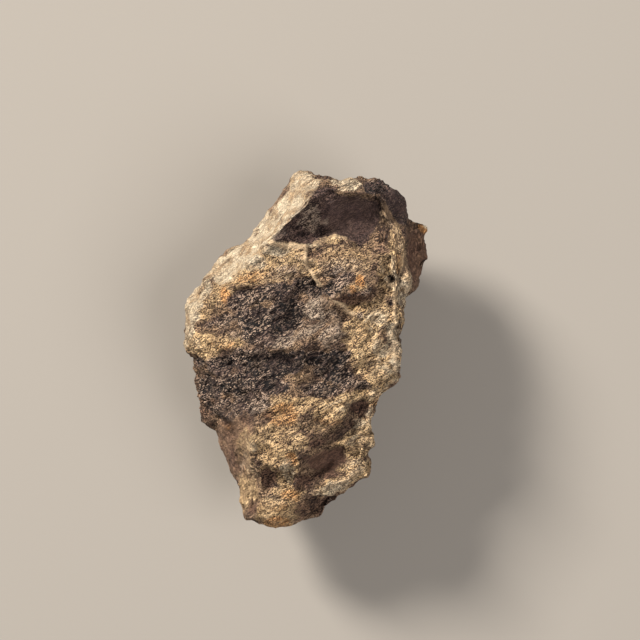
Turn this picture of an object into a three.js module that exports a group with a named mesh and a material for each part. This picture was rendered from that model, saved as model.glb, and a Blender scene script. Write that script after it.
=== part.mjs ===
// A weathered stony meteorite: one broken fragment of an ordinary chondrite, lying on a small flat
// spot on its back. Millimetres, +Z up. The origin is at the middle of the stone's plan, on the
// surface that the stone lies on. +Y runs along its length towards the blunt end, +X across it.

import * as THREE from "three";
import { ConvexHull } from "three/addons/math/ConvexHull.js";
import { ImprovedNoise } from "three/addons/math/ImprovedNoise.js";
import { TessellateModifier } from "three/addons/modifiers/TessellateModifier.js";
import { mergeVertices } from "three/addons/utils/BufferGeometryUtils.js";

// ---- Driving dimensions ----

const MESH_EDGE = 1.34; // the longest edge of the mesh
const SPLITS = 12; // rounds of halving that bring every edge under MESH_EDGE
const MERGE = 1e-4; // points nearer than this are one point
const ROUNDS = 3; // rounds of weathering before the surface is roughened
const WEAR = 0.12; // how far a round rounds the breaks, 0 to 1
const EVENNESS = 0.6; // how far a round evens the mesh out along the surface, 0 to 1
const REST_TRIM = 0.45; // how much of the back is flat where the stone lies on it

// The roughness of the broken surface: each wavelength, height, and shift into the noise.
const SWELLS = { wavelength: 6, height: 0.3, shift: 5 };
const CRAGS = { wavelength: 3.6, height: 0.65, shift: 0 };
const KNOBS = { wavelength: 1.8, height: 0.42, shift: 17 };
const CREST = 0.12; // how far a crag's crest stands out, as a share of its height

// The hollow's floor, which broke smoother than the rest.
const SMOOTH_MIDDLE = new THREE.Vector3(4.2, 15.6, 14.5);
const SMOOTH_RADIUS = 3;
const ROUGH_RADIUS = 6; // from here on the stone is as rough as elsewhere
const SMOOTH_SHARE = 0.35; // how rough the floor is beside the rest

// ---- Corners of the broken faces, [x, y, z] ----

// The edge of the plan, clockwise from the peak.
const PEAK_EDGE = [
  [-2.0, 20.4, 9.6],
  [-1.1, 21.0, 9.8],
  [0.5, 21.2, 9.8],
  [1.7, 20.4, 10.8],
  [3.2, 19.9, 12.2],
  [4.3, 19.9, 12.7],
  [6.1, 20.5, 13],
];
const CORNER_EDGE = [
  [8.2, 20.6, 12.4],
  [10.0, 19.9, 11.8],
  [11.4, 18.3, 11.2],
  [12.2, 17.0, 11],
  [12.2, 15.8, 10.8],
];
const FLANGE_EDGE = [
  [13.2, 15.3, 10.2],
  [14.4, 14.6, 10.4],
  [13.9, 13.1, 9.6],
  [14.7, 11.3, 9],
  [14.3, 9.7, 8.8],
  [13.9, 8.2, 9],
  [13.0, 7.0, 10],
];
const RIGHT_EDGE = [
  [12.0, 5.9, 13.2],
  [11.7, 4.4, 14],
  [11.1, 1.6, 14.8],
  [11.4, 0.0, 15],
  [11.3, -2.4, 14.9],
  [11.0, -4.2, 14.2],
  [9.2, -5.7, 14],
  [8.2, -7.2, 14],
  [8.1, -8.7, 14.2],
  [8.5, -10.9, 14],
  [7.7, -12.6, 13.6],
  [7.3, -14.8, 13.4],
  [5.8, -16.4, 12.8],
];
const TIP_EDGE = [
  [4.2, -17.6, 12],
  [2.4, -19.2, 10.6],
  [0.6, -20.0, 10],
  [-1.4, -20.7, 9.8],
  [-3.2, -21.5, 9.4],
  [-5.4, -21.0, 9],
  [-7.8, -20.6, 8.6],
];
const LEFT_EDGE = [
  [-7.9, -18.2, 8.2],
  [-8.8, -15.7, 7.8],
  [-9.8, -12.6, 7.6],
  [-10.8, -9.9, 7.8],
  [-12.6, -8.0, 8],
  [-13.3, -6.1, 8.4],
  [-13.3, -3.4, 9],
  [-13.2, -1.3, 9.8],
  [-14.3, 0.3, 10.4],
  [-14.7, 2.8, 10.4],
  [-14.2, 5.4, 10],
  [-12.8, 7.3, 9.4],
];
const FLANK_EDGE = [
  [-11.0, 8.8, 9],
  [-9.9, 10.2, 8.6],
  [-9.9, 11.7, 8.4],
  [-7.8, 12.5, 8.6],
  [-6.6, 13.3, 8.7],
  [-5.3, 15.5, 8.9],
  [-4.3, 16.8, 9],
  [-3.3, 18.5, 9.2],
];

// The crest between the upper flank and the hollow, and on down the left shoulder.
const FLANK_CREST = [
  [1.9, 18.9, 16.8],
  [0.6, 17.5, 17.4],
  [-0.6, 16.2, 17.4],
  [-1.7, 15.1, 17.1],
  [-2.8, 14.0, 16.7],
  [-4.0, 12.8, 16.2],
  [-5.6, 11.2, 15.5],
  [-7.7, 9.5, 14.6],
  [-9.8, 8.0, 13.9],
  [-11.8, 6.4, 13.2],
  [-13.2, 4.6, 12.5],
  [-13.7, 2.4, 12.6],
];
const FLANK = [
  [0.9, 19.8, 13.4],
  [-0.6, 19.3, 13],
  [-1.2, 17.6, 14.6],
  [-2.8, 16.8, 12.2],
  [-3.1, 15.2, 14.2],
  [-4.7, 14.0, 12.2],
  [-5.2, 12.8, 13.8],
  [-6.6, 12.0, 12],
  [-8.3, 11.3, 10.6],
  [-8.9, 9.9, 11.9],
  [-11.2, 8.0, 11.2],
];
// The hollow below the peak: its upper rim, its floor and its lower lip.
const HOLLOW_RIM = [
  [2.8, 18.4, 17],
  [3.4, 19.1, 14.9],
  [4.6, 18.1, 17.4],
  [6.2, 18.0, 17.4],
  [7.6, 17.9, 17.1],
  [8.7, 17.2, 16.7],
  [9.2, 15.9, 15.8],
];
const PEAK_TOP = [
  [2.6, 19.6, 14],
  [4.3, 19.3, 15],
  [5.6, 19.3, 15.4],
  [7.9, 19.2, 14.9],
  [10.4, 17.9, 13.4],
  [10.8, 16.3, 12.9],
];
const HOLLOW_FLOOR = [
  [2.0, 17.8, 16.1],
  [0.9, 16.6, 16.2],
  [-0.6, 15.2, 15.9],
  [-2.4, 13.5, 15.4],
  [-0.8, 13.5, 14.8],
  [0.6, 14.8, 14.9],
  [0.5, 12.7, 14.3],
  [2.6, 16.6, 15.4],
  [2.2, 14.8, 14.2],
  [1.8, 13.4, 13.8],
  [4.0, 17.2, 15.4],
  [4.2, 15.6, 14.1],
  [3.4, 14.2, 13.6],
  [6.2, 17.1, 15],
  [6.2, 15.4, 13.5],
  [5.0, 13.6, 13.2],
  [7.8, 16.8, 14.5],
  [8.2, 15.2, 13.7],
  [6.8, 13.3, 13.2],
];
const HOLLOW_LIP = [
  [-2.6, 12.3, 15.6],
  [0.1, 11.9, 15.8],
  [1.5, 12.6, 15.6],
  [2.4, 13.1, 15.4],
  [3.6, 13.5, 15.3],
  [4.6, 12.9, 15.4],
  [5.9, 12.2, 15.6],
  [7.6, 12.5, 15.3],
  [8.9, 13.6, 15],
];
const RIGHT_CREST = [
  [9.7, 14.7, 15],
  [11.1, 14.3, 14.7],
  [11.4, 12.6, 14.8],
  [11.5, 10.6, 14.8],
  [11.9, 9.0, 14.4],
  [12.4, 7.5, 13.2],
];
const FLANGE_SHELF = [
  [12.3, 14.2, 10.6],
  [12.2, 12.4, 10.4],
  [12.5, 10.6, 10.1],
  [12.9, 8.9, 10.2],
  [13.7, 11.4, 9.7],
];
// The groove and the rib between the broad face and the narrow strip to its right.
const GROOVE = [
  [9.6, 12.0, 15.2],
  [9.7, 9.6, 15.1],
  [9.9, 7.6, 15.1],
  [10.0, 5.0, 15.1],
  [10.0, 2.0, 15.2],
  [10.0, -0.6, 15.2],
];
const RIB = [
  [10.3, 11.2, 15.8],
  [10.3, 9.0, 16],
  [10.4, 6.8, 16.1],
  [10.6, 4.4, 15.9],
  [10.5, 1.2, 15.8],
  [10.6, -1.4, 15.7],
  [10.4, -3.6, 15],
];
// The swells and dips of the broad face.
const UPPER_TERRACE = [
  [-1.9, 10.0, 15.9],
  [-4.4, 9.6, 15.6],
  [0.9, 10.4, 16.4],
  [3.4, 11.2, 16.1],
  [6.0, 9.9, 16.7],
  [8.0, 9.9, 16.2],
  [2.6, 8.4, 16.4],
  [4.0, 7.1, 17],
  [5.5, 6.6, 17.3],
  [7.1, 6.8, 17.1],
  [8.6, 7.4, 16.5],
];
const LOWER_TERRACE = [
  [1.8, 6.7, 16],
  [3.4, 5.8, 15.7],
  [5.2, 5.3, 15.5],
  [7.2, 5.6, 15.4],
  [8.8, 6.2, 15.3],
  [8.6, 3.4, 16.1],
  [5.8, 3.0, 16.6],
  [7.8, 0.4, 16.5],
  [8.8, -2.2, 16.1],
  [6.2, -1.6, 15.9],
  [8.6, -4.4, 15.5],
];
const FACE_MIDDLE = [
  [0.4, 7.2, 14.7],
  [-0.9, 8.5, 16.1],
  [-3.0, 7.9, 15.9],
  [-2.8, 5.4, 15.2],
  [-0.8, 4.2, 14.9],
  [1.4, 5.4, 16.2],
  [3.6, 3.7, 16.9],
  [3.0, 1.3, 17.2],
  [0.4, 2.4, 16.3],
  [0.0, 0.1, 17],
  [-2.6, 0.3, 16.5],
  [-3.8, 2.8, 15],
  [-2.4, -1.4, 15.7],
  [0.6, -1.7, 15.8],
  [4.6, -0.7, 16],
  [-1.0, -3.0, 16.6],
  [3.8, -2.8, 15.6],
  [1.6, -4.6, 15.7],
  [6.3, -3.9, 15.6],
];
const FACE_LEFT = [
  [-5.4, 7.6, 15.6],
  [-8.4, 7.4, 14.8],
  [-9.2, 5.7, 14.9],
  [-6.4, 5.0, 15],
  [-8.8, 3.4, 14.5],
  [-11.2, 3.1, 13.7],
  [-5.8, 1.6, 15.7],
  [-8.4, 1.2, 15.7],
  [-10.4, 1.0, 15.3],
  [-12.6, 0.8, 13.8],
  [-12.3, -1.5, 12.4],
  [-10.4, -1.7, 13.6],
  [-8.6, -0.9, 14.9],
  [-5.4, -1.0, 15.7],
  [-10.2, -3.6, 13.9],
  [-7.4, -3.2, 15.3],
  [-4.4, -3.8, 16],
];
// The lower half of the broad face, down to the tip.
const LOWER_FACE = [
  [-7.4, -6.0, 14.8],
  [-4.8, -6.4, 15.9],
  [-1.6, -6.6, 16.6],
  [1.8, -6.8, 16.5],
  [4.6, -5.6, 16.2],
  [-4.2, -8.8, 15.6],
  [-0.6, -9.0, 16.3],
  [3.6, -8.0, 16],
  [6.0, -6.6, 14.3],
  [7.5, -7.6, 14.2],
  [5.2, -8.7, 14.6],
  [6.8, -9.8, 15],
  [1.8, -10.3, 14.8],
  [3.6, -9.6, 14.8],
  [-3.8, -11.4, 15.6],
  [-1.2, -11.8, 15.8],
  [1.2, -11.5, 15.2],
  [4.5, -11.2, 15.2],
  [1.6, -13.1, 13.4],
  [3.8, -12.4, 13.6],
  [6.0, -12.0, 13.8],
  [5.6, -13.8, 14.5],
];
const TIP = [
  [-3.0, -13.4, 14.9],
  [-1.0, -13.7, 14.9],
  [0.4, -14.4, 12.9],
  [-0.4, -15.9, 12.8],
  [2.4, -15.2, 14],
  [4.4, -15.0, 14.1],
  [3.2, -16.9, 13.6],
  [1.2, -17.2, 13.2],
  [2.2, -18.3, 10.9],
  [0.2, -18.9, 11],
  [-1.8, -16.8, 13.7],
  [-4.1, -14.8, 12.2],
  [-4.3, -16.1, 12],
  [-3.2, -17.4, 13],
  [-3.0, -19.0, 12],
  [-3.6, -20.6, 10.8],
  [-6.2, -18.1, 10],
];
// The ridge down the lower left of the broad face, and the flank outside it.
const LEFT_CREST = [
  [-12.2, -3.4, 12],
  [-10.8, -5.2, 12.7],
  [-9.4, -7.5, 13],
  [-7.5, -8.8, 13.9],
  [-6.2, -10.4, 14.8],
  [-5.9, -12.6, 14.2],
  [-5.5, -14.4, 13.2],
  [-5.4, -16.8, 12.4],
  [-5.2, -19.0, 11.4],
];
const LOWER_FLANK = [
  [-12.1, -5.4, 10.4],
  [-10.6, -7.6, 11],
  [-8.7, -9.8, 11.2],
  [-8.2, -12.4, 10.6],
  [-7.0, -14.6, 10.4],
  [-6.9, -16.6, 9.8],
];
// The hidden back: facets that fall from the edge to the spot that the stone lies on.
const BACK = [
  [-12.6, 4.6, 6],
  [-11.2, -2.2, 3.6],
  [-8.8, 8.0, 3.2],
  [-5.2, 12.4, 4.6],
  [-1.0, 17.6, 6],
  [3.4, 15.6, 3],
  [8.2, 17.0, 7.4],
  [11.2, 13.6, 6.6],
  [10.6, 9.6, 4.6],
  [11.0, 5.8, 8.6],
  [9.6, 2.2, 6.4],
  [10.6, -1.0, 11],
  [8.2, -3.0, 6.8],
  [7.2, -7.8, 9.6],
  [4.6, -8.4, 4.6],
  [6.2, -12.2, 9.2],
  [2.6, -14.6, 5.2],
  [-1.6, -18.8, 6.4],
  [-5.8, -17.2, 4.6],
  [-4.6, -13.2, 1.8],
  [-8.8, -9.4, 2.8],
];
const RESTING_SPOT = [
  [-5.6, -6.0, 0],
  [-6.6, 1.4, 0],
  [-3.2, 7.2, 0],
  [2.4, 8.4, 0],
  [5.8, 3.0, 0],
  [4.4, -3.8, 0],
  [0.2, -8.6, 0],
];

const EDGE = [
  PEAK_EDGE,
  CORNER_EDGE,
  FLANGE_EDGE,
  RIGHT_EDGE,
  TIP_EDGE,
  LEFT_EDGE,
  FLANK_EDGE,
].flat();
const FRONT = [
  FLANK_CREST,
  FLANK,
  HOLLOW_RIM,
  PEAK_TOP,
  HOLLOW_FLOOR,
  HOLLOW_LIP,
  RIGHT_CREST,
  FLANGE_SHELF,
  GROOVE,
  RIB,
  UPPER_TERRACE,
  LOWER_TERRACE,
  FACE_MIDDLE,
  FACE_LEFT,
  LOWER_FACE,
  TIP,
  LEFT_CREST,
  LOWER_FLANK,
].flat();
const UNDERSIDE = [BACK, RESTING_SPOT].flat();

// ---- Shaping ----

// How far the plan's edge is from the origin in a direction.
function edgeReach(direction) {
  for (let i = 0; i < EDGE.length; i++) {
    const start = new THREE.Vector2(...EDGE[i]);
    const run = new THREE.Vector2(...EDGE[(i + 1) % EDGE.length]).sub(start);
    const share = -direction.cross(start) / direction.cross(run);
    const reach = start.addScaledVector(run, share).dot(direction);
    if (share >= -1e-9 && share < 1 && reach > 0) return reach;
  }
  throw new Error("the plan's edge is not closed round the origin");
}

// Spreads the corners over a globe: the plan's edge on the equator, the face on the northern half
// and the underside on the southern half.
function onGlobe([x, y, z], half) {
  const plan = new THREE.Vector2(x, y);
  const away = plan.clone().normalize();
  const share = half === 0 ? 1 : plan.length() / edgeReach(away);
  const colatitude = (share * Math.PI) / 2;
  const place = new THREE.Vector3(
    away.x * Math.sin(colatitude),
    away.y * Math.sin(colatitude),
    half * Math.cos(colatitude),
  );
  place.corner = new THREE.Vector3(x, y, z);
  return place;
}

// The flat triangles between neighbouring corners, which the globe's convex hull gives.
function brokenFaces() {
  const places = [
    ...EDGE.map((corner) => onGlobe(corner, 0)),
    ...FRONT.map((corner) => onGlobe(corner, 1)),
    ...UNDERSIDE.map((corner) => onGlobe(corner, -1)),
  ];
  const points = [];
  for (const face of new ConvexHull().setFromPoints(places).faces) {
    const ring = [];
    let edge = face.edge;
    do {
      ring.push(edge.head().point.corner);
      edge = edge.next;
    } while (edge !== face.edge);
    for (let i = 2; i < ring.length; i++) points.push(ring[0], ring[i - 1], ring[i]);
  }
  return new THREE.BufferGeometry().setFromPoints(points);
}

function neighboursOf(geometry) {
  const neighbours = Array.from({ length: geometry.attributes.position.count }, () => new Set());
  const index = geometry.index.array;
  for (let i = 0; i < index.length; i += 3) {
    for (const [a, b] of [[0, 1], [1, 2], [2, 0]]) {
      neighbours[index[i + a]].add(index[i + b]);
      neighbours[index[i + b]].add(index[i + a]);
    }
  }
  return neighbours;
}

// Evens the mesh out along the surface, and rounds the breaks off a little, as weathering does.
function weather(geometry) {
  geometry.computeVertexNormals();
  const { position, normal } = geometry.attributes;
  const before = position.clone();
  neighboursOf(geometry).forEach((ring, i) => {
    const point = new THREE.Vector3().fromBufferAttribute(before, i);
    const outward = new THREE.Vector3().fromBufferAttribute(normal, i);
    const pull = new THREE.Vector3();
    for (const j of ring) pull.add(new THREE.Vector3().fromBufferAttribute(before, j));
    pull.divideScalar(ring.size).sub(point);
    const across = outward.multiplyScalar(pull.dot(outward));
    point.addScaledVector(pull.sub(across), EVENNESS).addScaledVector(across, WEAR);
    position.setXYZ(i, point.x, point.y, point.z);
  });
}

const noise = new ImprovedNoise();

// Soft swells, -1 to 1.
const wave = ({ x, y, z }, { wavelength, shift }) =>
  noise.noise(x / wavelength + shift, y / wavelength, z / wavelength);

// Crags with sharp crests.
const crag = (point, kind) => CREST - Math.abs(wave(point, kind));

// The height of the broken surface over its flat faces.
function roughness(point) {
  const height =
    SWELLS.height * wave(point, SWELLS) +
    CRAGS.height * crag(point, CRAGS) +
    KNOBS.height * crag(point, KNOBS);
  const distance = point.distanceTo(SMOOTH_MIDDLE);
  const share = THREE.MathUtils.smoothstep(distance, SMOOTH_RADIUS, ROUGH_RADIUS);
  return height * THREE.MathUtils.lerp(SMOOTH_SHARE, 1, share);
}

// Moves each point along its normal by the roughness there.
function roughen(geometry) {
  geometry.computeVertexNormals();
  const { position, normal } = geometry.attributes;
  for (let i = 0; i < position.count; i++) {
    const point = new THREE.Vector3().fromBufferAttribute(position, i);
    const outward = new THREE.Vector3().fromBufferAttribute(normal, i);
    point.addScaledVector(outward, roughness(point));
    position.setXYZ(i, point.x, point.y, point.z);
  }
}

// Trims the resting spot flat at z = 0 and centres the plan on the origin.
function layOnFlatSpot(geometry) {
  const position = geometry.attributes.position;
  geometry.computeBoundingBox();
  const floor = geometry.boundingBox.min.z + REST_TRIM;
  const middle = geometry.boundingBox.getCenter(new THREE.Vector3());
  for (let i = 0; i < position.count; i++) {
    position.setXYZ(
      i,
      position.getX(i) - middle.x,
      position.getY(i) - middle.y,
      Math.max(position.getZ(i) - floor, 0),
    );
  }
}

function meteoriteGeometry() {
  const split = new TessellateModifier(MESH_EDGE, SPLITS).modify(brokenFaces());
  const geometry = mergeVertices(split, MERGE);
  for (let round = 0; round < ROUNDS; round++) weather(geometry);
  roughen(geometry);
  weather(geometry);
  layOnFlatSpot(geometry);
  geometry.computeVertexNormals();
  return geometry;
}

// ---- The part ----

const stoneMaterial = new THREE.MeshStandardMaterial({
  color: 0x6e5642,
  roughness: 0.92,
  metalness: 0,
});

const meteorite = new THREE.Mesh(meteoriteGeometry(), stoneMaterial);
meteorite.name = "meteorite";

const part = new THREE.Group();
part.add(meteorite);

export default part;
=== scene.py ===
"""A broken, weathered stony meteorite lying on a pale floor.

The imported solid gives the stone's form. This script gives it the crumbly broken surface and the weathered
colours of an ordinary chondrite, and sets the floor, the lights and the camera. Metres, +Z up.
"""

import math

import bmesh
import bpy
from mathutils import Matrix, Vector, noise


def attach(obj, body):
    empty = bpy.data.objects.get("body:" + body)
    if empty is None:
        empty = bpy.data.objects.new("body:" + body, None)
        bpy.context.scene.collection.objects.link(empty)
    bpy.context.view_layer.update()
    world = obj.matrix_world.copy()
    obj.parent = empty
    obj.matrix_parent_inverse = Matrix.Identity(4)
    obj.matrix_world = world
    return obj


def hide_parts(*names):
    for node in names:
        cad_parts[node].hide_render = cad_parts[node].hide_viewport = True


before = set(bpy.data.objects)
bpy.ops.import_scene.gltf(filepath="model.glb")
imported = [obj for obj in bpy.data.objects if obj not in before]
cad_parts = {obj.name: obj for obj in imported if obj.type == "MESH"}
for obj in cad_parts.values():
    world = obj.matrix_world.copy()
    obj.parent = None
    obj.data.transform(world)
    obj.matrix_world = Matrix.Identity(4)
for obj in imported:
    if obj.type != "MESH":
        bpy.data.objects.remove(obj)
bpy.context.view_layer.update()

MM = 0.001


# ---------------------------------------------------------------- helpers


def smoothstep(value, low, high):
    """0 below low, 1 above high, and a soft rise between them."""
    share = min(max((value - low) / (high - low), 0.0), 1.0)
    return share * share * (3 - 2 * share)


# ---------------------------------------------------------------- the stone's places, in millimetres

# A patch is (x, y, half width, half height, turn in degrees, strength), seen from above the broad face.

# What is left of the black crust: the middle of the broad face.
BLACK_CRUST = [
    (-0.4, 7.5, 2.0, 0.9, -15, 0.85),
    (0.8, 7.0, 1.5, 0.9, -30, 0.95),
    (-3.2, 6.9, 3.0, 1.2, 8, 0.8),
    (-7.2, 5.9, 2.6, 1.1, 15, 0.7),
    (-2.0, 4.2, 2.4, 2.0, 0, 1.0),
    (-5.4, 3.6, 2.8, 1.6, 0, 0.85),
    (-9.6, 3.6, 2.2, 0.8, 10, 0.6),
    (-3.6, 1.8, 2.6, 1.3, -10, 0.85),
    (-6.6, -1.0, 3.6, 1.2, 0, 0.75),
    (-2.2, -1.3, 2.8, 1.3, 5, 1.0),
    (1.4, -1.0, 2.2, 0.8, 0, 1.0),
    (3.9, -0.7, 1.3, 1.0, 0, 1.0),
    (3.3, -2.7, 2.3, 1.2, -10, 0.9),
    (6.0, -3.9, 1.5, 0.7, -10, 0.65),
    (-4.0, -4.1, 2.2, 0.9, 0, 1.0),
    (-8.4, 2.0, 1.6, 0.9, 0, 0.45),
    (-6.0, 1.6, 1.6, 1.0, 0, 0.7),
    (-5.2, -3.0, 2.8, 1.2, 0, 0.8),
    (1.6, -4.4, 2.6, 0.9, 0, 0.7),
    (-9.8, -1.9, 1.7, 1.1, 20, 0.9),
    (-12.3, -1.3, 0.8, 0.6, 0, 0.9),
    (-8.4, -3.9, 2.8, 1.5, 0, 0.75),
    (-11.2, -4.4, 1.6, 1.8, 0, 0.8),
    (-6.2, -6.0, 2.4, 1.4, 0, 0.7),
    (-9.2, -7.0, 2.2, 1.4, -10, 0.6),
    (3.1, 2.5, 0.9, 0.7, 0, 0.5),
    (1.2, 1.9, 1.2, 0.7, 0, 0.35),
    (3.2, 7.3, 1.4, 0.8, 30, 0.85),
    (4.7, 8.3, 1.1, 0.7, 35, 0.85),
    (3.2, 9.1, 1.3, 0.5, 15, 0.6),
    (7.2, 6.7, 0.8, 0.5, 20, 0.6),
    # Painted shade in the groove beside the right-hand rib, in crust black.
    (9.8, 8.4, 0.22, 0.5, 0, 1.0),
    (9.95, 5.6, 0.20, 0.6, 0, 1.0),
    (10.6, 3.2, 0.3, 0.3, 0, 0.8),
    (9.9, 0.7, 0.25, 0.3, 0, 0.7),
]

# The hollow below the peak and the corner facet beside it, each as an outline with a crisp border. Their colour is
# dark stone with painted shadow: the crest's cast shadow over the hollow, and shade over the corner facet.
HOLLOW_SHADOW_OUTLINE = [
    (1.9, 18.8), (3.9, 19.2), (3.3, 18.2), (4.3, 17.9), (6.6, 17.7), (8.3, 17.4), (8.9, 16.4), (8.6, 15.2),
    (8.1, 14.0), (7.3, 13.0), (6.5, 12.3), (5.5, 12.6), (4.7, 13.3), (3.4, 13.7), (2.2, 13.3), (1.2, 12.5),
    (0.2, 12.3), (-1.9, 12.5), (-3.8, 12.7), (-3.0, 13.8), (-1.9, 14.7), (-0.9, 15.8), (0.4, 17.2), (1.3, 18.4),
]
CORNER_FACET_SHADE = [
    (6.6, 19.0), (7.2, 20.2), (9.0, 20.2), (12.0, 19.0), (12.6, 16.6), (12.2, 15.4), (11.6, 14.4), (10.4, 15.4),
    (9.7, 16.9), (8.6, 18.0), (7.2, 17.9),
]

# Dark brown breaks with painted shade: the flange, the dips, the foot of the scarp, and spots on the lower-left
# flank.
DARK_BREAK_SHADE = [
    (12.4, 11.6, 1.0, 4.0, 5, 0.55),
    (5.8, 6.0, 2.5, 0.7, 5, 1.0),
    (8.4, 6.6, 1.0, 0.8, 0, 0.4),
    (1.0, 11.0, 1.6, 0.5, 15, 0.5),
    (-1.8, 9.6, 1.1, 0.5, 10, 0.5),
    (9.0, 2.0, 0.6, 1.0, 0, 0.6),
    (7.6, -1.2, 0.7, 0.5, 0, 0.4),
    (10.6, -4.4, 0.9, 0.7, 30, 0.9),
    (6.4, -6.7, 0.9, 0.9, 0, 0.9),
    (5.4, -8.3, 0.7, 0.45, 0, 0.6),
    (3.0, -9.8, 1.1, 0.5, 20, 0.4),
    (-4.2, -7.5, 0.7, 0.8, 0, 0.6),
    (1.3, -10.7, 1.1, 0.5, 5, 0.9),
    (2.4, -12.7, 2.3, 1.1, 8, 1.0),
    (3.8, -11.8, 0.7, 0.5, 30, 0.8),
    (2.6, -14.4, 1.6, 0.45, 5, 0.75),
    (-2.6, -10.7, 0.9, 0.5, 0, 0.4),
    (-4.3, -15.0, 0.85, 1.2, 0, 0.85),
    (-5.6, -12.9, 0.5, 0.9, 0, 0.4),
    (-0.4, -15.4, 1.0, 0.9, 0, 1.0),
    (0.4, -17.2, 0.8, 0.5, 0, 0.3),
    (-0.6, -18.8, 1.0, 0.8, 0, 0.5),
    (2.0, -18.5, 1.8, 0.75, 25, 0.6),
    (-6.3, -18.4, 0.6, 0.9, 0, 0.8),
    (-7.9, -13.4, 1.1, 1.8, -15, 0.4),
    (-8.3, -12.2, 0.5, 0.8, 0, 0.5),
]

# Red-brown weathering skin: the left and lower-left flank, the flange, and spots at both ends.
RED_SKIN = [
    (-11.2, -6.0, 1.7, 1.7, 0, 0.8),
    (-8.6, -9.0, 2.2, 1.6, -20, 0.7),
    (-8.6, -11.6, 2.4, 3.6, -15, 0.5),
    (-7.6, -15.6, 1.5, 2.6, -10, 0.5),
    (13.4, 10.6, 1.4, 3.6, 5, 1.0),
    (-0.6, -18.8, 1.3, 1.4, 0, 0.6),
    (9.2, 12.6, 1.0, 2.2, 0, 0.4),
]

# Tan stain over the broken chondrite.
TAN_STAIN = [
    (7.8, 3.8, 2.9, 2.4, -12, 1.0),
    (7.6, -0.6, 2.6, 3.2, 12, 1.0),
    (5.2, 3.0, 1.2, 0.6, 30, 0.8),
    (5.0, 0.9, 1.0, 0.5, -20, 0.7),
    (9.3, -3.2, 1.8, 1.8, 0, 0.9),
    (9.8, 9.0, 1.6, 3.4, 0, 0.8),
    (10.4, 11.6, 1.0, 3.0, 0, 0.7),
    (9.0, 15.2, 0.9, 2.3, 8, 0.3),
    (10.8, 3.0, 1.0, 5.0, 0, 0.9),
    (4.6, 10.6, 4.4, 1.6, 0, 0.5),
    (5.2, 12.0, 2.6, 0.8, 5, 0.4),
    (6.0, 7.4, 1.4, 0.7, 0, 0.6),
    (3.2, 12.9, 0.9, 0.7, 0, 0.8),
    (6.8, 8.4, 1.6, 1.0, 0, 0.4),
    (-3.2, 10.6, 3.0, 1.6, 10, 0.8),
    (-6.4, 8.8, 2.8, 1.4, 18, 0.9),
    (-3.0, 8.4, 2.4, 0.8, 10, 0.6),
    (0.4, 9.6, 1.6, 1.2, 0, 0.8),
    (-9.6, 6.6, 1.4, 1.4, 0, 0.7),
    (-12.0, 4.8, 1.7, 1.3, 20, 0.6),
    (-10.2, 4.6, 2.0, 1.4, 10, 0.25),
    (-11.9, 0.6, 2.2, 1.5, 0, 1.0),
    (-8.6, 1.2, 2.0, 0.9, 5, 0.8),
    (-0.6, -3.2, 1.4, 0.9, 0, 0.35),
    (-3.6, -5.3, 3.0, 0.6, 0, 0.45),
    (5.2, -5.4, 2.4, 0.7, 10, 0.9),
    (1.2, -8.6, 3.0, 0.8, 0, 0.4),
    (-0.8, -10.6, 1.2, 1.2, 0, 0.6),
    (0.6, -6.0, 1.4, 0.8, 0, 0.8),
    (8.6, 5.8, 1.0, 0.8, 0, 0.7),
    (8.2, -5.6, 1.2, 0.8, 30, 0.6),
    (4.4, -13.8, 1.0, 0.7, 20, 0.6),
    (5.4, -10.4, 1.6, 0.9, 10, 0.9),
    (6.0, -12.0, 1.6, 0.8, 10, 0.9),
    (-2.4, -14.9, 1.4, 1.4, 0, 0.8),
    (-6.8, -14.6, 0.9, 3.2, -10, 0.5),
    (-2.2, -6.6, 2.6, 1.3, 0, 0.9),
    (2.4, -6.8, 2.2, 1.2, 0, 0.9),
    (-3.2, -9.4, 2.4, 1.6, 0, 0.6),
    (-4.0, -12.2, 1.8, 2.4, 0, 0.8),
    (-1.8, -12.8, 1.1, 2.0, 0, 0.9),
    (7.5, -9.2, 1.3, 1.7, 0, 0.9),
    (4.0, -10.6, 1.3, 0.6, 25, 0.4),
    (6.0, -13.8, 1.6, 1.3, 30, 0.9),
    (3.6, -15.8, 2.6, 1.1, 20, 1.0),
    (-2.0, -16.6, 2.2, 1.1, 0, 0.9),
    (-3.4, -19.0, 2.4, 2.2, 0, 0.9),
    (-6.0, -10.8, 0.9, 1.3, 0, 0.7),
    (-6.9, -16.6, 1.3, 2.2, 0, 0.7),
    (-7.4, -11.0, 0.9, 2.2, -15, 0.5),
]

# Rust-orange where the stone's metal grains have weathered.
RUST = [
    (-9.3, 6.3, 0.7, 1.0, 0, 0.9),
    (-6.2, 8.5, 1.9, 0.7, 15, 0.5),
    (-10.0, 0.6, 2.4, 0.6, 0, 0.35),
    (6.3, 8.0, 0.6, 0.7, 0, 1.0),
    (5.5, 7.1, 0.5, 0.5, 0, 0.7),
    (13.9, 14.4, 0.7, 0.6, 0, 1.0),
    (10.9, 9.2, 0.4, 2.8, 0, 0.4),
    (-2.8, -7.4, 2.0, 1.3, 0, 0.55),
    (-1.6, -12.6, 0.7, 0.9, 0, 0.8),
    (2.4, -8.0, 1.6, 0.5, 0, 0.4),
    (-2.0, -16.9, 1.8, 0.7, 0, 0.6),
    (-3.4, -20.2, 1.8, 1.0, 0, 0.6),
    (-3.2, -18.2, 1.6, 1.0, 0, 0.35),
    (-9.0, -8.6, 0.8, 0.7, 0, 0.35),
    (8.6, -5.8, 1.2, 0.5, 30, 0.4),
]
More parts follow.
